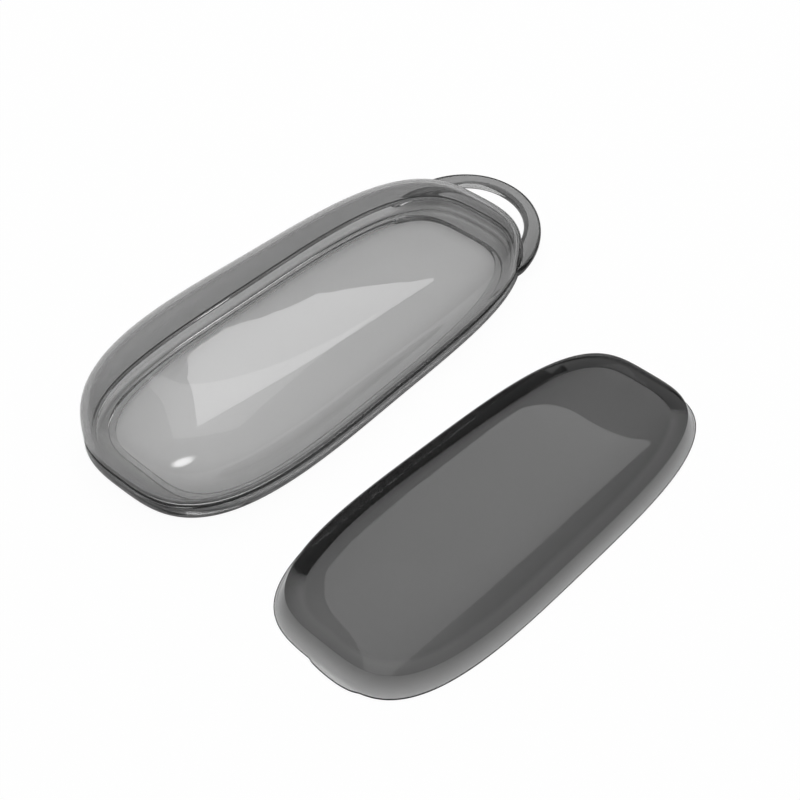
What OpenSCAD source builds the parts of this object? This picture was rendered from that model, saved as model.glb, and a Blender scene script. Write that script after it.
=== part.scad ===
// Key fob cover in clear smoke-grey mouldings.
// A domed front shell sits on a loop frame that carries the key loop.
// The back cover closes the frame from below, and is modelled taken off,
// lying face up beside the case.

/* [Case outline] */
// Length of the case without its key loop
case_len = 89.4; // [80:0.2:110]
// Width of the case before its taper
case_w = 39; // [38:0.2:52]
// Squareness of the case outline, where 2 is an ellipse
case_power = 3; // [2.7:0.1:3.6]

/* [Front shell] */
// Rise of the dome above its rim, at mid length
dome_rise = 11.4; // [9:0.1:18]
// Squareness of the dome's cross section, where 2 is an ellipse
dome_power = 3.15; // [2.6:0.05:4]
// Thickness of the shell's side wall
shell_wall = 1; // [0.8:0.05:1.3]
// Thickness of the shell's crown
crown_wall = 1; // [0.8:0.05:2]
// Round along the rim's outer lower edge
rim_round = 0.35; // [0.2:0.05:0.45]

/* [Loop frame] */
// Height of the frame's seat face above the table
frame_h = 3.1; // [2.9:0.1:4.5]
// Open line between the frame's seat face and the shell's rim
parting_gap = 0.3; // [0.2:0.05:0.5]
// Height of the lip that stands up inside the shell's rim
lip_h = 0.5; // [0.4:0.1:1.2]
// Thickness of that lip
lip_wall = 0.5; // [0.4:0.05:0.9]
// Clearance between the lip and the shell's wall
lip_clear = 0.2; // [0.1:0.05:0.3]
// How far the underside draws in below the frame's band
under_draw = 0.9; // [0.4:0.1:1]
// Width of the ledge that the back cover's rim lands on, along the sides
ledge_w = 1.8; // [0.8:0.1:2]
// Width of that ledge at the two ends
ledge_end = 0.5; // [0.4:0.1:2]
// Height of the ledge's upper edge above the table
ledge_z = 1.3; // [1.2:0.1:2]
// Depth of the recess that takes the back cover's rim
recess_d = 0.7; // [0.4:0.1:0.8]

/* [Key loop] */
// Length of the loop's half oval, from its centre to its tip
loop_len = 14.9; // [13.5:0.1:16]
// Half width of the loop's oval
loop_side = 15.4; // [15:0.1:16.2]
// Width of the loop's band at its tip
loop_w = 2.6; // [2:0.1:3.2]
// How much wider the band gets towards its roots
root_w = 1.6; // [0:0.1:2]
// Thickness of the loop's band
loop_t = 1.6; // [1.2:0.1:2.2]
// How far the loop reaches past the end of the case
loop_reach = 7.5; // [6.5:0.1:9]
// Rise of the loop towards its tip, in degrees
loop_pitch = 11.3; // [0:0.1:14]

/* [Back cover] */
// Length of the back cover's rim
cover_len = 79.4; // [74:0.2:82]
// Width of the back cover's rim before its taper
cover_w = 34; // [28:0.2:34.4]
// Squareness of the back cover's outline
cover_power = 3.6; // [3.2:0.1:4.2]
// How much shorter the crisp face edge is than the rim
face_short = 3.4; // [2:0.1:6]
// How much narrower the crisp face edge is than the rim
face_slim = 2.6; // [1.6:0.1:3.6]
// Height of the face edge above the table
edge_h = 3.5; // [3:0.1:5]
// Rise of the face above its edge
face_rise = 1.9; // [1.2:0.1:4]
// Thickness of the back cover's wall at its foot
cover_wall = 0.8; // [0.7:0.05:1.2]
// Thickness of the back cover's face
face_wall = 1.7; // [1.2:0.1:2]
// How far in from the face edge the hollow's ceiling starts
corner_w = 3; // [1.5:0.1:4]
// Clearance round the rim inside the frame's recess
cover_clear = 0.3; // [0.2:0.05:0.6]
// Length of the finger tab along the cover's blunt end
tab_len = 9; // [6:0.5:14]
// How far the finger tab stands out from the rim
tab_out = 0.5; // [0.3:0.1:0.8]
// Height of the finger tab
tab_h = 0.8; // [0.5:0.1:1.2]

/* [Layout] */
// Clear table between the case and the back cover
lay_gap = 9.9; // [5:0.1:30]
// How far the back cover lies back from the loop end
lay_back = 8.6; // [0:0.2:20]
// Small turn of the back cover as it lies
lay_turn = -1.8; // [-6:0.1:6]

/* [Hidden] */

smoke = [0.42, 0.42, 0.43, 0.75];
dark_smoke = [0.27, 0.27, 0.28, 0.85];

// Points round an outline, and rings up each surface
sides = 96;
dome_rings = 14;
cove_rings = 6;
face_rings = 9;
loop_steps = 44;
loop_corners = 12;
// The loop's arc runs this many degrees either side of the long axis
loop_sweep = 108;
// Overrun of a cutting body past the face that it cuts
cut_over = 1;

// Narrowing of each outline towards the loop end, and how full its ends are,
// as shares of the half width
case_taper_share = -0.05;
case_waist_share = 0.08;
cover_taper_share = -0.053;
cover_waist_share = -0.02;
waist_rest_share = 0.3;
// Fall of the dome towards the loop end and its bow, as shares of its rise
dome_fall_share = -0.27;
dome_bow_share = 0.06;
// Crown of the back cover's face: its power along the radius
crown_power = 4;
// Squareness of the loop's band, all round its section
loop_power = 3.2;
// Heights and draws down the frame's band, as shares of frame_h and under_draw
band_z_shares = [0.94, 0.82, 0.45, 0.2, 0.05, 0];
band_in_shares = [0.15, 0.05, 0, 0.2, 0.6, 1];
// Round of the frame's top edge, as a share of the rim's round
top_edge_share = 1.4;
// Share of the cover's wall that is rounded at the table
foot_round_share = 0.25;
// Place of the finger tab across the blunt end, as a share of the half width
tab_place_share = -0.18;

seat_z = frame_h + parting_gap;
lip_out = shell_wall + lip_clear;
lip_in = lip_out + lip_wall;
loop_x = case_len / 2 + loop_reach - loop_len;

function spow(v, p) = sign(v) * pow(abs(v), p);

// One closed ring of points: a squared ellipse with a taper and a waist.
// reach scales it towards its centre, and lift is its height at each point.
function unit_x(a, power) = spow(cos(a), 2 / power);
function unit_y(a, power) = spow(sin(a), 2 / power);
function side_share(e, taper, waist) = 1 + taper * e + waist * (e * e - waist_rest_share);

function case_point(a, inset, reach) =
    let (e = unit_x(a, case_power) * reach,
         s = unit_y(a, case_power) * reach)
    [(case_len / 2 - inset) * e,
     (case_w / 2 * side_share(e, case_taper_share, case_waist_share) - inset) * s];

function cover_point(a, inset_x, inset_y, reach) =
    let (e = unit_x(a, cover_power) * reach,
         s = unit_y(a, cover_power) * reach)
    [(cover_len / 2 - inset_x) * e,
     (cover_w / 2 * side_share(e, cover_taper_share, cover_waist_share) - inset_y) * s];

function turn_at(j) = 360 * j / sides;

function case_ring(inset, z) =
    [for (j = [0:sides - 1]) let (p = case_point(turn_at(j), inset, 1)) [p.x, p.y, z]];

function cover_ring(inset_x, inset_y, z) =
    [for (j = [0:sides - 1])
        let (p = cover_point(turn_at(j), inset_x, inset_y, 1)) [p.x, p.y, z]];

// Height of the dome over its rim, along the case
function dome_height(e, thinner) =
    dome_rise * (1 + dome_fall_share * e + dome_bow_share * e * e) - thinner;

function dome_ring(b, inset, base, thinner) =
    [for (j = [0:sides - 1])
        let (reach = spow(sin(b), 2 / dome_power),
             p = case_point(turn_at(j), inset, reach),
             e = unit_x(turn_at(j), case_power) * reach)
        [p.x, p.y, base + dome_height(e, thinner) * spow(cos(b), 2 / dome_power)]];

// Height of the back cover's face over its edge
function face_ring(reach, inset_x, inset_y, base, rise) =
    [for (j = [0:sides - 1])
        let (p = cover_point(turn_at(j), inset_x, inset_y, reach))
        [p.x, p.y, base + rise * (1 - pow(reach, crown_power))]];

// A quarter round from a flat face to a wall: draws in and heights as points
function quarter(r, steps) =
    [for (i = [0:steps]) let (a = 90 * i / steps) [r * (1 - sin(a)), r * (1 - cos(a))]];

function flat_list(lists) = [for (l = lists) each l];

// Triangles between ring i and the next
function band_faces(i, next, first) =
    [for (j = [0:sides - 1])
        let (k = (j + 1) % sides,
             a = first + i * sides + j,
             b = first + i * sides + k,
             c = first + next * sides + k,
             d = first + next * sides + j)
        each [[a, b, c], [a, c, d]]];

// A closed skin from a pole, down its rings, to a second pole
module capped_loft(start, rings, finish) {
    count = len(rings);
    last = 1 + count * sides;
    polyhedron(
        points = concat([start], flat_list(rings), [finish]),
        faces = concat(
            [for (j = [0:sides - 1]) [0, 1 + (j + 1) % sides, 1 + j]],
            flat_list([for (i = [0:count - 2]) band_faces(i, i + 1, 1)]),
            [for (j = [0:sides - 1])
                [last - sides + j, last - sides + (j + 1) % sides, last]]));
}

// Outside of the case at the frame, from the seat face down to the table
function band_rings() = concat(
    [case_ring(rim_round * top_edge_share, frame_h)],
    [for (i = [0:len(band_z_shares) - 1])
        case_ring(under_draw * band_in_shares[i], frame_h * band_z_shares[i])]);

module frame_block() {
    rings = band_rings();
    capped_loft([0, 0, frame_h], rings, [0, 0, 0]);
}

module case_plug(inset, low, high) {
    capped_loft([0, 0, high], [case_ring(inset, high), case_ring(inset, low)], [0, 0, low]);
}

module cover_plug(inset, low, high) {
    capped_loft(
        [0, 0, high],
        [cover_ring(inset, inset, high), cover_ring(inset, inset, low)],
        [0, 0, low]);
}

// The cove: a hollow curve from the lip's top down and inward to the ledge's edge
function cove_ring(turn, top) =
    let (share = sin(turn),
         z = ledge_z + (top - ledge_z) * (1 - cos(turn)),
         low = cover_ring(ledge_end, ledge_w, z),
         high = case_ring(lip_in, z))
    [for (j = [0:sides - 1]) low[j] + (high[j] - low[j]) * share];

module cove_plug() {
    top = frame_h + lip_h;
    capped_loft(
        [0, 0, top + cut_over],
        concat(
            [case_ring(lip_in, top + cut_over)],
            [for (i = [cove_rings:-1:0]) cove_ring(90 * i / cove_rings, top)],
            [cover_ring(ledge_end, ledge_w, -cut_over)]),
        [0, 0, -cut_over]);
}

// The loop's band: a rounded section carried round an oval arc that climbs to its tip.
// It widens inward towards the roots, which rounds the ends of the hole.
function loop_point(a, i) =
    let (t = 360 * i / loop_corners,
         half = (loop_w + root_w * pow(sin(a), 4)) / 2,
         off = half * (spow(cos(t), 2 / loop_power) - 1),
         x = (loop_len + off) * cos(a))
    [loop_x + x, (loop_side + off) * sin(a),
     frame_h - loop_t / 2 + max(x, 0) * tan(loop_pitch) + loop_t / 2 * spow(sin(t), 2 / loop_power)];

module key_loop() {
    rings = [for (i = [0:loop_steps])
        let (a = -loop_sweep + 2 * loop_sweep * i / loop_steps)
        [for (k = [0:loop_corners - 1]) loop_point(a, k)]];
    last = loop_steps * loop_corners;
    polyhedron(
        points = flat_list(rings),
        faces = concat(
            [[for (k = [loop_corners - 1:-1:0]) k]],
            [[for (k = [0:loop_corners - 1]) last + k]],
            flat_list([for (i = [0:loop_steps - 1])
                [for (k = [0:loop_corners - 1])
                    let (n = (k + 1) % loop_corners,
                         a = i * loop_corners)
                    each [[a + k, a + loop_corners + n, a + loop_corners + k],
                          [a + k, a + n, a + loop_corners + n]]]])));
}

// The loop as it stands outside the case, clear of the shell's rim
module trimmed_loop() {
    difference() {
        key_loop();
        case_plug(lip_out, -cut_over, frame_h + loop_reach);
        case_plug(-parting_gap, frame_h, frame_h + loop_reach);
    }
}

module place_case() {
    translate([-mid_x, -mid_y, 0]) children();
}

module front_shell() {
    base = seat_z + rim_round;
    step = 90 / dome_rings;
    outer = [for (i = [1:dome_rings]) dome_ring(i * step, 0, base, 0)];
    inner = [for (i = [dome_rings:-1:1]) dome_ring(i * step, shell_wall, base, crown_wall)];
    edge = quarter(rim_round, 3);
    rim = [for (i = [2:-1:0]) case_ring(edge[i].x, seat_z + edge[i].y)];
    place_case()
        color(smoke)
            capped_loft(
                [0, 0, base + dome_height(0, 0)],
                concat(outer, rim, [case_ring(shell_wall, seat_z)], inner),
                [0, 0, base + dome_height(0, crown_wall)]);
}

module loop_frame() {
    place_case()
        color(smoke)
            difference() {
                union() {
                    frame_block();
                    case_plug(lip_out, recess_d, frame_h + lip_h);
                    trimmed_loop();
                }
                cove_plug();
                cover_plug(-cover_clear, -cut_over, recess_d);
            }
}

// How far the finger tab pushes the rim out at one point of the outline
function tab_push(y) =
    let (off = abs(y - cover_w / 2 * tab_place_share) / (tab_len / 2))
    off < 1 ? tab_out * pow(1 - off * off, 0.5) : 0;

function tab_ring(inset, z) =
    [for (p = cover_ring(inset, inset, z)) p.x < 0 ? [p.x - tab_push(p.y), p.y, z] : p];

module back_cover() {
    outer = [for (i = [1:face_rings])
        face_ring(sin(90 * i / face_rings), face_short / 2, face_slim / 2, edge_h, face_rise)];
    foot = cover_wall * foot_round_share;
    tab_inset = (face_short / 2) * (tab_h / edge_h);
    wall = [cover_ring(tab_inset, tab_inset * face_slim / face_short, tab_h),
            tab_ring(0, tab_h - foot / 2),
            tab_ring(0, foot),
            tab_ring(foot, 0),
            cover_ring(cover_wall, cover_wall, 0)];
    inner_short = face_short / 2 + corner_w;
    inner_slim = face_slim / 2 + corner_w;
    inner_edge = edge_h - face_wall * (1 - foot_round_share);
    inner = [for (i = [face_rings:-1:1])
        face_ring(sin(90 * i / face_rings), inner_short, inner_slim, inner_edge,
                  face_rise - face_wall * foot_round_share)];
    translate([cover_x - mid_x, cover_y - mid_y, 0])
        rotate([0, 0, lay_turn])
            color(dark_smoke)
                capped_loft(
                    [0, 0, edge_h + face_rise],
                    concat(outer, wall, inner),
                    [0, 0, edge_h + face_rise - face_wall]);
}

// Where the pieces lie: the model is centred on the table under its own box
case_outline = case_ring(0, 0);
loop_tip = case_len / 2 + loop_reach;
cover_outline = [for (p = tab_ring(0, 0))
    [p.x * cos(lay_turn) - p.y * sin(lay_turn), p.x * sin(lay_turn) + p.y * cos(lay_turn)]];
case_side = max([for (p = case_outline) p.y]);
cover_side = max([for (p = cover_outline) p.y]);
cover_x = -lay_back;
cover_y = -case_side - lay_gap - cover_side;
cover_low_x = min([for (p = cover_outline) p.x]) + cover_x;
cover_low_y = min([for (p = cover_outline) p.y]) + cover_y;
mid_x = (loop_tip + min(-case_len / 2, cover_low_x)) / 2;
mid_y = (case_side + cover_low_y) / 2;

front_shell();
loop_frame();
back_cover();
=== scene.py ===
# %% [markdown]
# A clear smoke-grey key fob cover in three pieces: a domed front shell, the frame with
# its key loop under it, and the back cover taken off and laid beside them.
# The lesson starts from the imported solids. They fix every size and place, so the pieces
# made here only have to be smoother and finer than the solids that they stand for.

# %% Load the solids and measure them
import math

import bmesh
import bpy
import numpy as np
from mathutils import Matrix, Vector


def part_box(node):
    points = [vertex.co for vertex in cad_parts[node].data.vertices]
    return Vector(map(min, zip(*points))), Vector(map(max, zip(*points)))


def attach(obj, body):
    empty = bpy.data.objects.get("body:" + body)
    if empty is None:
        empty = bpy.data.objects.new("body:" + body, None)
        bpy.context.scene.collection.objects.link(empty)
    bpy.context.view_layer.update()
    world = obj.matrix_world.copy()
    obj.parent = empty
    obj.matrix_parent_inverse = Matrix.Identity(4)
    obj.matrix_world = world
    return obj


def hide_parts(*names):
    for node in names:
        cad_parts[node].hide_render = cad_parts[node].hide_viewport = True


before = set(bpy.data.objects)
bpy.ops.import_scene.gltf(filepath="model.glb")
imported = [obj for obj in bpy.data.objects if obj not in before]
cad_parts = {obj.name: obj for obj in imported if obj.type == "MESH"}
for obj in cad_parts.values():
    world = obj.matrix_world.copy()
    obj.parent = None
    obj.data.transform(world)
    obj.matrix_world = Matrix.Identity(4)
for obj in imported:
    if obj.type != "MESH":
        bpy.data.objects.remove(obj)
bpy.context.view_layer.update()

MM = 0.001

# %% [markdown]
# Every moulding here is a loft: closed rings of points, one after the other, joined by
# four-sided faces. Real moulds are cut from such sections too. A subdivided cage would be
# quicker to draw by hand, but a loft from a formula keeps each wall at its real thickness,
# and clear plastic shows every error in a wall as a bent line. The shading is smooth, but
# it stops at real corners: without that, a corner looks like a soft fade.

# %% Turn rings of points into a mesh
SHARP_TURN = math.radians(35)


def soften(mesh):
    """Smooth shading that stops at real corners, so that a corner stays a crisp line."""
    mesh.shade_smooth()
    mesh.set_sharp_from_angle(angle=SHARP_TURN)


def add_mesh(name, points, faces):
    """A new object in the scene with these points and faces."""
    mesh = bpy.data.meshes.new(name)
    mesh.from_pydata(points, [], faces)
    soften(mesh)
    piece = bpy.data.objects.new(name, mesh)
    bpy.context.scene.collection.objects.link(piece)
    return piece


def loft(name, rings, closed=False):
    """A skin over rings of points that turn anticlockwise, as seen from the side of the first ring.
    closed joins the last ring to the first. Otherwise each end gets a face of its own."""
    count, size = len(rings), len(rings[0])
    here = np.arange(size)
    beside = (here + 1) % size
    faces = []
    for i in range(count if closed else count - 1):
        this, following = i * size, (i + 1) % count * size
        faces += np.stack([this + here, following + here, following + beside, this + beside], 1).tolist()
    if not closed:
        faces.append(here.tolist())
        faces.append(((count - 1) * size + here[::-1]).tolist())
    print(name, "has", len(faces), "faces")
    return add_mesh(name, np.concatenate(rings).tolist(), faces)


# %% [markdown]
# The outline of the case is a squared ellipse: a circle's formula with a higher power,
# which fills the corners. It narrows a little towards the key loop. A curve drawn by hand
# could come as close, but a formula is smooth everywhere, and gloss shows every bump.
# Points are spread evenly along it, so that the faces stay small where it turns.

# %% The outline of the case and of the back cover
RING_POINTS = 420
OUTLINE_STEPS = 60 * RING_POINTS
EDGE_STEPS, SMALL_EDGE_STEPS = 6, 3

case_low, case_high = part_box("front_shell")
case_len = case_high[0] - case_low[0]
case_mid = [(a + b) / 2 for a, b in zip(case_low, case_high)]
case_w = 39 * MM
case_power = 3
case_taper, case_waist, waist_rest = -0.05, 0.08, 0.3

cover_len, cover_w = 79.4 * MM, 34 * MM
cover_power = 3.6
cover_taper, cover_waist = -0.053, -0.02


def squared_turn(turn, power):
    """The cosine and sine of a turn, pushed out towards a square's corners. A power of 2 leaves a circle."""
    return [np.sign(v) * np.abs(v) ** (2 / power) for v in (np.cos(turn), np.sin(turn))]


def distance_along(x, y):
    """How far along a line of points each of them lies."""
    return np.concatenate([[0], np.cumsum(np.hypot(np.diff(x), np.diff(y)))])


def even_outline(power, stretch):
    """x and y of a squared ellipse of half size 1, with its points evenly spaced once x is stretched."""
    x, y = squared_turn(np.linspace(0, 2 * np.pi, OUTLINE_STEPS + 1), power)
    along = distance_along(x * stretch, y)
    even = np.linspace(0, along[-1], RING_POINTS, endpoint=False)
    return np.interp(even, along, x), np.interp(even, along, y)


def outline_ring(shape, length, width, taper, waist, inset, reach, z):
    """One ring of an outline, drawn in by inset along x and y and scaled towards its centre by reach."""
    inset_x, inset_y = inset if isinstance(inset, tuple) else (inset, inset)
    along, across = shape[0] * reach, shape[1] * reach
    share = 1 + taper * along + waist * (along * along - waist_rest)
    x, y = (length / 2 - inset_x) * along, (width / 2 * share - inset_y) * across
    return np.stack([x, y, np.broadcast_to(z, x.shape)], 1)


case_shape = even_outline(case_power, case_len / case_w)
cover_shape = even_outline(cover_power, cover_len / cover_w)


def case_ring(inset, z, reach=1.0):
    return outline_ring(case_shape, case_len, case_w, case_taper, case_waist, inset, reach, z)


def cover_ring(inset, z, reach=1.0):
    return outline_ring(cover_shape, cover_len, cover_w, cover_taper, cover_waist, inset, reach, z)


def round_edge(start, end, steps=EDGE_STEPS, along_z=False):
    """Points on a quarter of an ellipse between two (inset, z) points. It leaves the first one sideways,
    or along z."""
    points = []
    for i in range(steps + 1):
        turn = math.pi / 2 * i / steps
        fast, slow = math.sin(turn), 1 - math.cos(turn)
        across, up = (slow, fast) if along_z else (fast, slow)
        points.append((start[0] + (end[0] - start[0]) * across, start[1] + (end[1] - start[1]) * up))
    return points


print("case", round(case_len / MM, 1), "mm long, centred at", [round(v / MM, 2) for v in case_mid[:2]])

# %% [markdown]
# The front shell is a dome with an even wall. Its cross section is a squared ellipse as
# well, so it has a flat crown and full shoulders, and the crown slopes down towards the
# loop. A cap that is pushed up and then given a thickness would be quicker, but its wall
# would follow the mesh. Here the inner skin follows the same formula inside the wall. The
# rim's lower edges are rounded, as on a real moulding, and catch a fine line of light.

# %% The front shell
frame_h, parting_gap = 3.1 * MM, 0.3 * MM
seat_z = frame_h + parting_gap
rim_round = 0.35 * MM
dome_base = seat_z + rim_round
dome_rise, dome_power = 11.4 * MM, 3.15
dome_fall, dome_bow = -0.27, 0.06
shell_wall, crown_wall = 1.0 * MM, 1.0 * MM
rim_edge = 0.1 * MM
DOME_RINGS, SECTION_STEPS = 70, 4000


def dome_section():
    """How far out and how far up each ring of the squared dome lies, evenly spaced along its section."""
    climb, reach = squared_turn(np.linspace(0, np.pi / 2, SECTION_STEPS), dome_power)
    along = distance_along(reach * case_w / 2, climb * dome_rise)
    even = np.linspace(0, along[-1], DOME_RINGS + 1)[1:]
    return list(zip(np.interp(even, along, reach), np.interp(even, along, climb)))


def dome_skin(wall, crown):
    """Rings from the middle of the crown down to the rim, wall inside the outline and crown below the top."""
    rings = []
    for reach, climb in dome_section():
        along = case_shape[0] * reach
        height = dome_rise * (1 + dome_fall * along + dome_bow * along * along) - crown
        rings.append(case_ring(wall, dome_base + height * climb, reach))
    return rings


outer, inner = dome_skin(0, 0), dome_skin(shell_wall, crown_wall)
rim = round_edge((0, dome_base), (rim_round, seat_z), along_z=True)[1:]
rim += round_edge((shell_wall - rim_edge, seat_z), (shell_wall, seat_z + rim_edge), SMALL_EDGE_STEPS)
front_shell = loft("front_shell_moulding", outer + [case_ring(*p) for p in rim] + list(reversed(inner)))

# %% [markdown]
# The frame is the lower moulding. Its band has a soft belly, and its top is the flat seat
# under the parting line, with a low lip that stands up inside the shell. From the lip a
# cove runs down and inward to the opening. The opening is the back cover's outline drawn
# in, so the cover's rim lands on a ledge in the recess below. The frame is one closed
# ring of rings, so it stays open right through. An opening cut out of a solid block would
# do as well, but it leaves long thin faces that show in the gloss.

# %% The frame's section, carried round the outline
under_draw, belly_z = 0.9 * MM, 1.4 * MM
top_edge = 0.45 * MM
lip_h, lip_wall, lip_clear = 0.5 * MM, 0.5 * MM, 0.2 * MM
lip_out = shell_wall + lip_clear
lip_in = lip_out + lip_wall
ledge_end, ledge_w, ledge_z = 0.5 * MM, 1.8 * MM, 1.3 * MM
recess_d, cover_clear = 0.7 * MM, 0.3 * MM
small_round = 0.1 * MM
BELLY_STEPS, COVE_RINGS = 10, 24


def cove_ring(turn):
    """A ring of the cove: turn 0 is the opening's upper edge, and a right angle is the lip's top."""
    wall_share, height_share = math.sin(turn), 1 - math.cos(turn)
    low, high = ledge_z, frame_h + lip_h - small_round
    z = low + (high - low) * height_share
    mouth = cover_ring((ledge_end - small_round, ledge_w - small_round), z)
    return mouth + (case_ring(lip_in, z) - mouth) * wall_share


band = round_edge((top_edge, frame_h), (0, frame_h - top_edge))
belly = round_edge((0, belly_z), (under_draw, 0), BELLY_STEPS, along_z=True)
frame_rings = [case_ring(*p) for p in band + belly]
recess = [(-cover_clear - small_round, 0), (-cover_clear, small_round), (-cover_clear, recess_d)]
ledge = round_edge((-small_round, recess_d), (0, recess_d + small_round), SMALL_EDGE_STEPS)
ledge += round_edge((0, ledge_z - small_round), (-small_round, ledge_z), SMALL_EDGE_STEPS, along_z=True)
frame_rings += [cover_ring(*p) for p in recess]
frame_rings += [cover_ring((ledge_end + inset, ledge_w + inset), z) for inset, z in ledge]
frame_rings += [cove_ring(turn) for turn in np.linspace(0, math.pi / 2, COVE_RINGS)[1:]]
lip_top = frame_h + lip_h
lip_inside, lip_outside = (lip_in, lip_top - small_round), (lip_out, lip_top - small_round)
lip = round_edge(lip_inside, (lip_in - small_round, lip_top), SMALL_EDGE_STEPS, along_z=True)[1:]
lip += round_edge((lip_out + small_round, lip_top), lip_outside, SMALL_EDGE_STEPS)
lip += [(lip_out, frame_h)]
frame_rings += [case_ring(*p) for p in lip]
frame_body = loft("frame_band", frame_rings, closed=True)

# %% [markdown]
# The key loop is a band with a squared section, carried round an arc. It widens towards
# its roots, as a moulded loop does where it carries the load, and it climbs towards its
# tip. A curve with a bevel would make such a band too, but only of one width. Band and
# frame are one moulding, so a Boolean joins them. Clear plastic would show any skin left
# inside, which rules out pushing the pieces together. Where two skins nearly touch, a
# Boolean can leave slivers that lie back to back, so those are deleted.

# %% The key loop, joined to the frame
loop_len, loop_side = 14.9 * MM, 15.4 * MM
loop_w, root_w, loop_t = 2.6 * MM, 1.6 * MM, 1.6 * MM
loop_reach = 7.5 * MM
loop_tip = case_len / 2 + loop_reach
loop_x = loop_tip - loop_len
loop_mid_z = frame_h - loop_t / 2
loop_rise = 0.2
loop_sweep = math.radians(108)
loop_power, root_power = 3.2, 4
LOOP_STEPS, LOOP_POINTS = 220, 48


def loop_ring(arc):
    """The band's squared section at one turn of the arc, 0 at the tip."""
    out, up = squared_turn(np.linspace(0, 2 * np.pi, LOOP_POINTS, endpoint=False), loop_power)
    off = (loop_w + root_w * math.sin(arc) ** root_power) / 2 * (out - 1)
    x = loop_x + (loop_len + off) * math.cos(arc)
    z = loop_mid_z + loop_rise * np.maximum(x - loop_x, 0) + loop_t / 2 * up
    return np.stack([x, (loop_side + off) * math.sin(arc), z], 1)


def drop_slivers(mesh):
    """Deletes the faces that lie back to back on the same points, because they enclose nothing."""
    clean = bmesh.new()
    clean.from_mesh(mesh)
    by_points = {}
    for face in clean.faces:
        by_points.setdefault(frozenset(face.verts), []).append(face)
    doubled = [face for faces in by_points.values() if len(faces) > 1 for face in faces]
    bmesh.ops.delete(clean, geom=doubled, context="FACES")
    clean.to_mesh(mesh)
    clean.free()
    print(len(doubled), "slivers deleted")


def boolean(piece, other, operation):
    """Joins or cuts piece with other, keeps the result in piece and deletes other."""
    change = piece.modifiers.new(operation.lower(), "BOOLEAN")
    change.operation = operation
    change.solver = "EXACT"
    change.object = other
    evaluated = piece.evaluated_get(bpy.context.evaluated_depsgraph_get())
    mesh = bpy.data.meshes.new_from_object(evaluated)
    drop_slivers(mesh)
    soften(mesh)
    piece.modifiers.clear()
    piece.data = mesh
    bpy.data.objects.remove(other)


cut_top, cut_bottom = 3 * frame_h, -frame_h
seat_skim = 0.01 * MM
plug = loft("opening_plug", [case_ring(lip_out, z) for z in (cut_top, cut_bottom)])
shell_room = loft("shell_room", [case_ring(-parting_gap, z) for z in (cut_top, frame_h + seat_skim)])
arcs = np.linspace(-loop_sweep, loop_sweep, LOOP_STEPS + 1)
key_loop = loft("key_loop_band", [loop_ring(arc) for arc in arcs])
boolean(key_loop, plug, "DIFFERENCE")
boolean(key_loop, shell_room, "DIFFERENCE")
boolean(frame_body, key_loop, "UNION")
frame_body.name = "loop_frame_moulding"
print("the joined frame has", len(frame_body.data.polygons), "faces")

# %% [markdown]
# The back cover lies face up, taken off. Its face is slightly crowned and ends at a crisp
# edge, and its wall flares out from there to the rim on the table. The hollow below is
# narrower than the face, so the plastic is thick along the edge and thin at the foot: the
# far edge looks nearly black and the near wall pale. It has a small finger tab at its
# blunt end. A flat sheet with a thickness would be simpler, but then every edge would be
# equally dark.

# %% The back cover
edge_h, face_rise, crown_power = 3.5 * MM, 1.9 * MM, 4
face_inset = (1.7 * MM, 1.3 * MM)
cover_wall, face_wall = 0.8 * MM, 1.7 * MM
hollow_inset, hollow_edge_share = (4.7 * MM, 4.3 * MM), 0.75
foot_round = 0.35 * MM
tab_len, tab_out, tab_h, tab_y = 9 * MM, 0.5 * MM, 0.8 * MM, -3.06 * MM
FACE_RINGS, WALL_RINGS = 60, 8
crisp_share = 0.02


def face_rings(inset, base, rise):
    """Rings from the middle of the crowned face out to its edge."""
    reaches = np.sin(np.linspace(0, np.pi / 2, FACE_RINGS + 1)[1:])
    return [cover_ring(inset, base + rise * (1 - r ** crown_power), r) for r in reaches]


def along_wall(share):
    """The (inset, z) place on the flared wall, 0 at the face's edge and 1 at the table."""
    return (face_inset[0] * (1 - share), face_inset[1] * (1 - share)), edge_h * (1 - share)


def tab_ring(inset, z):
    """A ring of the rim with the finger tab pushed out of its blunt end."""
    ring = cover_ring(inset, z)
    off = np.clip(1 - ((ring[:, 1] - tab_y) / (tab_len / 2)) ** 2, 0, None)
    ring[:, 0] -= np.where(ring[:, 0] < 0, tab_out * np.sqrt(off), 0)
    return ring


face = face_rings(face_inset, edge_h, face_rise)
wall = [cover_ring(*along_wall(share)) for share in np.linspace(crisp_share, 1 - tab_h / edge_h, WALL_RINGS)]
foot = [tab_ring(0, tab_h - foot_round / 2), tab_ring(0, foot_round)]
foot += [tab_ring(*p) for p in round_edge((0, foot_round), (foot_round, 0), along_z=True)[1:]]
foot += [cover_ring(cover_wall, 0)]
inner_edge_z = edge_h - face_wall * hollow_edge_share
inner = face_rings(hollow_inset, inner_edge_z, face_rise - face_wall * (1 - hollow_edge_share))
for share in np.linspace(0, 1, WALL_RINGS)[1:-1]:
    inset = tuple(cover_wall + (v - cover_wall) * share for v in hollow_inset)
    foot.append(cover_ring(inset, inner_edge_z * share))
back_cover = loft("back_cover_moulding", face + wall + foot + list(reversed(inner)))

# %% [markdown]
# Each piece is put where its solid lies, and says which solid it stands for. The rigid
# bodies of the physics model then carry it when the shell or the cover is lifted.

# %% Put the pieces in place and tie them to the bodies
cover_shift = Vector((-8.6, -46.903, 0)) * MM
cover_turn = math.radians(-1.8)
case_place = Vector((case_mid[0], case_mid[1], 0))

front_shell.data.transform(Matrix.Translation(case_place))
frame_body.data.transform(Matrix.Translation(case_place))
back_cover.data.transform(Matrix.Rotation(cover_turn, 4, "Z"))
back_cover.data.transform(Matrix.Translation(case_place + cover_shift))

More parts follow.
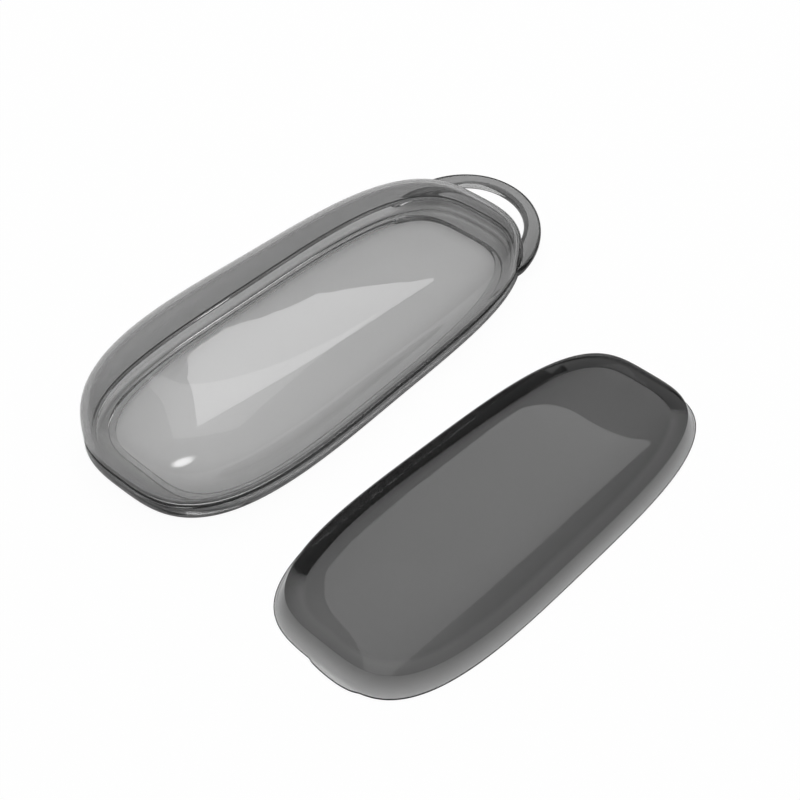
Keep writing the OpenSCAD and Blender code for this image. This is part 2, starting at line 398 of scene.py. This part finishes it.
for piece, node, body, slot in [
    (front_shell, "front_shell", "front", "shell_smoke"),
    (frame_body, "loop_frame", "case", "frame_smoke"),
    (back_cover, "back_cover", "back", "cover_smoke"),
]:
    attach(piece, body)
    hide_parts(node)
    print(piece.name, "stands for", node, "on", body)

# %% [markdown]
# A material is a tree of nodes. It can be wired by hand in the editor, but its maths reads
# better as Python. One small class wraps a node's output, so that a sum or a product of
# two outputs adds the Math node that works it out.

# %% Write shader nodes as expressions
class Sock:
    """A node's output that can be used in sums and products in plain Python."""

    def __init__(self, tree, socket):
        self.tree, self.socket = tree, socket

    def node(self, kind, settings=None, inputs=None, output=0):
        """Adds a node, with its settings first and then the values or links of its sockets."""
        made = self.tree.nodes.new(kind)
        for key, value in (settings or {}).items():
            setattr(made, key, value)
        for key, value in (inputs or {}).items():
            if isinstance(value, Sock):
                self.tree.links.new(value.socket, made.inputs[key])
            else:
                made.inputs[key].default_value = value
        return Sock(self.tree, made.outputs[output] if made.outputs else None)

    def maths(self, operation, *values):
        return self.node("ShaderNodeMath", {"operation": operation}, dict(enumerate(values)))

    def __add__(self, other):
        return self.maths("ADD", self, other)

    def __mul__(self, other):
        return self.maths("MULTIPLY", self, other)

    def __sub__(self, other):
        return self.maths("SUBTRACT", self, other)

    def __rsub__(self, other):
        return self.maths("SUBTRACT", other, self)

    def __pow__(self, other):
        return self.maths("POWER", self, other)

    def __abs__(self):
        return self.maths("ABSOLUTE", self)

    __radd__ = __add__
    __rmul__ = __mul__

    def at_most(self, other):
        return self.maths("MINIMUM", self, other)


def new_tree(owner):
    """An empty node tree on a material or a world."""
    owner.use_nodes = True
    owner.node_tree.nodes.clear()
    return Sock(owner.node_tree, None)


def ramp(value, span, low, high):
    """low until value reaches the span's start, high from its end on, and a soft step between."""
    return value.node("ShaderNodeMapRange", {"interpolation_type": "SMOOTHSTEP"}, {
        "Value": value, "From Min": span[0], "From Max": span[1], "To Min": low, "To Max": high})


def place_and_facing(tree):
    """Where a point of a surface is, and which way the surface faces there."""
    return [tree.node("ShaderNodeTexCoord", output=name) for name in ("Object", "Normal")]


def part_of(vector, axis):
    """One of a vector's three numbers."""
    return vector.node("ShaderNodeSeparateXYZ", inputs={0: vector}, output=axis)


def dot_product(first, second):
    """How far two vectors point the same way, as one number."""
    return first.node("ShaderNodeVectorMath", {"operation": "DOT_PRODUCT"}, {0: first, 1: second}, "Value")


# %% [markdown]
# Clear plastic is one shader with full transmission, and the smoke tint is in the volume:
# light loses a share for every millimetre that it travels inside. That is why the real
# piece is pale through one wall and nearly black along its edges. A grey surface colour
# alone would make it even all over. Shade is also painted into the surface colour: in
# the open joint under the shell's rim, down the shell's sides, on the frame's band and its
# foot, along the key loop and on the back cover's face. Clear plastic takes its dark
# places from dark things round it, and this plain studio has none, so the painted shade
# stands in for them. It goes by place on the piece, so it holds from every side.

# %% Where shade is painted on the case
# Painted shade: the share of light that the shell's sides, the band and the loop keep, and how dark the joint
# is painted.
side_painted_shade, band_painted_shade, loop_painted_shade, joint_dark = 0.68, 0.33, 0.18, 0.98
joint_fade, joint_turn = (0.2 * MM, 0.34 * MM), (0.02, 0.12)
side_fade = (seat_z + 1.5 * MM, seat_z + 8.5 * MM)
band_fade, foot_fade, band_turn = (frame_h - 0.1 * MM, frame_h), (0.25 * MM, 0.5 * MM), (0.2, 0.6)
loop_fade = (-0.6 * MM, 0.1 * MM)


def case_places(tree):
    """The place from the middle of the case, and how much the surface faces away from it, 1 at most."""
    place, facing = place_and_facing(tree)
    away = tree.node("ShaderNodeVectorMath", {"operation": "SUBTRACT"}, {0: place, 1: case_place})
    flat = tree.node("ShaderNodeVectorMath", {"operation": "MULTIPLY"}, {0: away, 1: (1, 1, 0)})
    outward = tree.node("ShaderNodeVectorMath", {"operation": "NORMALIZE"}, {0: flat})
    return away, dot_product(facing, outward)


def joint_shade(z, faces_out):
    """Painted shade: nearly black in the open joint between the shell's rim and the frame's seat."""
    near = ramp(abs(z - frame_h), joint_fade, joint_dark, 0.0)
    return 1 - near * ramp(faces_out, joint_turn, 0.0, 1.0)


def shell_shade(tree):
    """Painted shade in the joint and down the shell's sides."""
    away, faces_out = case_places(tree)
    z = part_of(away, "Z")
    return joint_shade(z, faces_out) * ramp(z, side_fade, side_painted_shade, 1.0)


def frame_shade(tree):
    """Painted shade in the joint, on the band's outer side and foot, and on the loop past the case's end."""
    away, faces_out = case_places(tree)
    x, y, z = [part_of(away, axis) for axis in "XYZ"]
    outer = ramp(faces_out, band_turn, 0.0, 1.0)
    band, foot = [1 - ramp(z, fade, 1 - band_painted_shade, 0.0) * outer for fade in (band_fade, foot_fade)]
    across = (abs(y) * (2 / case_w)) ** case_power
    case_end = (1 - across.at_most(1.0)) ** (1 / case_power) * (case_len / 2)
    # Painted shade along the loop, beyond the case's end.
    return joint_shade(z, faces_out) * band * foot * ramp(x - case_end, loop_fade, 1.0, loop_painted_shade)


# %% [markdown]
# The back cover is the darkest piece: its face is dark grey and its flared wall pale. The
# volume alone would make both alike where they are equally thick, so shade is painted on
# the face. Its gloss is weaker than that of plain plastic, so that the softbox stays a
# faint panel on the face. A rougher surface would dim the panel too, but blur its edge.

# %% Where shade is painted on the back cover
# Painted shade: the share of light that the cover's face keeps.
face_painted_shade = 0.58
face_turn, face_fade = (0.6, 0.75), (1.7 * MM, 2.3 * MM)


def cover_shade(tree):
    """Painted shade: darker on the cover's face than on its flared wall."""
    place, facing = place_and_facing(tree)
    level = ramp(abs(part_of(facing, "Z")), face_turn, 0.0, 1 - face_painted_shade)
    return 1 - level * ramp(part_of(place, "Z"), face_fade, 0.0, 1.0)


# %% The smoke-grey plastics
shell_loss, frame_loss, cover_loss = 0.4, 0.1, 0.44
cover_mirror = 0.25
polish, plastic_ior = 0.02, 1.49


def clear_plastic(name, loss_per_mm, shade, mirror=1.0):
    """Polished clear plastic that takes loss_per_mm of the light, as a natural exponent."""
    material = bpy.data.materials.new(name)
    tree = new_tree(material)
    # The surface colour carries the painted shade.
    grey = shade(tree)
    surface = tree.node("ShaderNodeBsdfPrincipled", inputs={
        "Base Color": tree.node("ShaderNodeCombineColor", inputs={0: grey, 1: grey, 2: grey}),
        "Roughness": polish,
        "IOR": plastic_ior,
        "Specular Tint": (mirror, mirror, mirror, 1),
        "Transmission Weight": 1.0,
    })
    smoke = tree.node("ShaderNodeVolumeAbsorption", inputs={
        "Color": (0, 0, 0, 1),
        "Density": loss_per_mm / MM,
    })
    tree.node("ShaderNodeOutputMaterial", inputs={"Surface": surface, "Volume": smoke})
    return material


for piece, material in [
    (front_shell, clear_plastic("clear_smoke_shell", shell_loss, shell_shade)),
    (frame_body, clear_plastic("clear_smoke_frame", frame_loss, frame_shade)),
    (back_cover, clear_plastic("dark_smoke_cover", cover_loss, cover_shade, cover_mirror)),
]:
    piece.data.materials.clear()
    piece.data.materials.append(material)
    print(piece.name, "is", material.name)

# %% [markdown]
# The camera stands where a photographer's would: beyond the case's blunt end, to its left,
# looking down at about 45 degrees through a short telephoto lens. A longer lens from
# further off would flatten the pieces, and the far one would look too large.

# %% The camera
look_at = case_place + Vector((-2.7, -21.2, 3.25)) * MM
camera_offset = Vector((-135.0, -119.3, 178.0)) * MM
lens_mm, sensor_mm = 69.7, 36
nearest_seen = 10 * MM

scene = bpy.context.scene
camera_data = bpy.data.cameras.new("camera")
camera_data.lens = lens_mm
camera_data.sensor_width = sensor_mm
camera_data.clip_start = nearest_seen
camera = bpy.data.objects.new("camera", camera_data)
camera.location = look_at + camera_offset
camera.rotation_euler = (-camera_offset).to_track_quat("-Z", "Y").to_euler()
scene.collection.objects.link(camera)
scene.camera = camera
view_turn = math.atan2(camera_offset.y, camera_offset.x) + math.pi / 2
print("the camera is", round(camera_offset.length / MM), "mm away")

# %% [markdown]
# The table is plain white. The camera sees it as pure white, with a trace of the real
# shade left in. Light that has passed through the plastic meets the real table, which is
# dimmer under the shell than beside it, and part of the white is added there too, because
# thin clear plastic lets more light down to a table than so few light paths can find. More
# light from the lamps would whiten the table as well, but it would bleach the plastic.

# %% The white table
WHITE = (1, 1, 1, 1)
table_half, table_drop = 1.0, 0.02 * MM
paper_grey = 0.9
table_seen, table_through = 0.96, 0.3


def seen_and_through(tree, seen, through):
    """A share for rays from the camera, and one for those that came through the plastic."""
    camera_ray = tree.node("ShaderNodeLightPath", output="Is Camera Ray")
    passed_ray = tree.node("ShaderNodeLightPath", output="Is Transmission Ray")
    return camera_ray * seen + passed_ray * through


corners = [(x * table_half, y * table_half, -table_drop) for x, y in [(-1, -1), (1, -1), (1, 1), (-1, 1)]]
table = add_mesh("table_top", corners, [(0, 1, 2, 3)])
white_paper = bpy.data.materials.new("white_table")
tree = new_tree(white_paper)
paper = tree.node("ShaderNodeBsdfDiffuse", inputs={"Color": (paper_grey, paper_grey, paper_grey, 1)})
glow = tree.node("ShaderNodeEmission", inputs={"Color": WHITE})
share = seen_and_through(tree, table_seen, table_through)
mixed = tree.node("ShaderNodeMixShader", inputs={0: share, 1: paper, 2: glow})
tree.node("ShaderNodeOutputMaterial", inputs={"Surface": mixed})
table.data.materials.append(white_paper)
print("the table reaches", table_half, "m from the middle")

# %% [markdown]
# A long softbox hangs behind and above. Its reflection is the pale panel on the crown and
# on the back cover's face. A window low in front, soft towards its edges, gives the
# bright streak at the blunt end. Both are glowing cards that only the gloss sees, so their
# corners can follow the edges of the reflections without changing the light on the table.
# A real lamp there would light the table too.

# %% The cards that the gloss mirrors
softbox_height, softbox_radiance, window_radiance = 1.0, 3.3, 13.0
softbox_near = [(-0.3, 0.75), (-0.13, -0.03), (0.63, 0.75), (0.6, 0.8)]
softbox_far = [(0.41, 0.92), (0.24, 1.1), (0.02, 1.38), (-0.05, 1.33), (-0.15, 1.2), (-0.26, 0.95)]
softbox_corners = [(x, y, softbox_height) for x, y in softbox_near + softbox_far]
window_corners = [(-0.5, -1.1, 0.02), (0.23, -1.01, 0.7), (-0.06, -0.7, 0.96), (-0.79, -0.79, 0.28)]


def from_view(place):
    """A place in metres over the middle of the case, turned as the camera is, with +y away from it."""
    return case_place + Matrix.Rotation(view_turn, 3, "Z") @ Vector(place)


def oval_fade(tree, points):
    """1 in the middle of a four-sided card, falling softly to 0 at the oval that fits inside it."""
    middle = sum(points, Vector()) / len(points)
    place = tree.node("ShaderNodeTexCoord", output="Object")
    away = tree.node("ShaderNodeVectorMath", {"operation": "SUBTRACT"}, {0: place, 1: middle})
    sides = [corner - points[0] for corner in (points[1], points[-1])]
    across, along = [dot_product(away, side * 2 / side.length_squared) for side in sides]
    fade = ramp(across * across + along * along, (0.0, 1.0), 1.0, 0.0)
    return fade * fade * fade


def light_card(name, corners, radiance, soft=False):
    """A glowing flat card that only the gloss sees, or one that is soft towards its edges."""
    points = [from_view(corner) for corner in corners]
    card = add_mesh(name, points, [tuple(range(len(points)))])
    material = bpy.data.materials.new(name)
    tree = new_tree(material)
    colour = WHITE
    if soft:
        fade = oval_fade(tree, points)
        colour = tree.node("ShaderNodeCombineColor", inputs={0: fade, 1: fade, 2: fade})
    glow = tree.node("ShaderNodeEmission", inputs={"Color": colour, "Strength": radiance})
    tree.node("ShaderNodeOutputMaterial", inputs={"Surface": glow})
    card.data.materials.append(material)
    card.visible_diffuse = card.visible_transmission = card.visible_shadow = False
    print(name, "is a card with", len(points), "corners")


light_card("softbox", softbox_corners, softbox_radiance)
light_card("window", window_corners, window_radiance, soft=True)

# %% [markdown]
# One wide lamp overhead lights the table softly, and the gloss doesn't see it. The room
# round it is a dim even white, so that the plastic mirrors little of it, while the camera
# sees a white backdrop. A bright room all round would wash out the dark edges.

# %% The lamp and the room
fill_place, fill_size, fill_radiance = (0, 0.25, 1.2), 1.2, 3.0
room_strength, backdrop_through = 0.25, 0.5

fill_light = bpy.data.lights.new("table_fill", "AREA")
fill_light.size = fill_size
fill_light.energy = math.pi * fill_size ** 2 * fill_radiance
fill_lamp = bpy.data.objects.new("table_fill", fill_light)
fill_lamp.location = from_view(fill_place)
fill_lamp.rotation_euler = (0, 0, view_turn)
fill_lamp.visible_glossy = False
scene.collection.objects.link(fill_lamp)

room = bpy.data.worlds.new("room")
scene.world = room
tree = new_tree(room)
dim = tree.node("ShaderNodeBackground", inputs={"Color": WHITE, "Strength": room_strength})
backdrop = tree.node("ShaderNodeBackground", inputs={"Color": WHITE})
share = seen_and_through(tree, 1.0, backdrop_through)
mixed = tree.node("ShaderNodeMixShader", inputs={0: share, 1: dim, 2: backdrop})
tree.node("ShaderNodeOutputWorld", inputs={"Surface": mixed})
scene.view_settings.view_transform = "Standard"
print("the lamp gives", round(fill_light.energy, 1), "W")
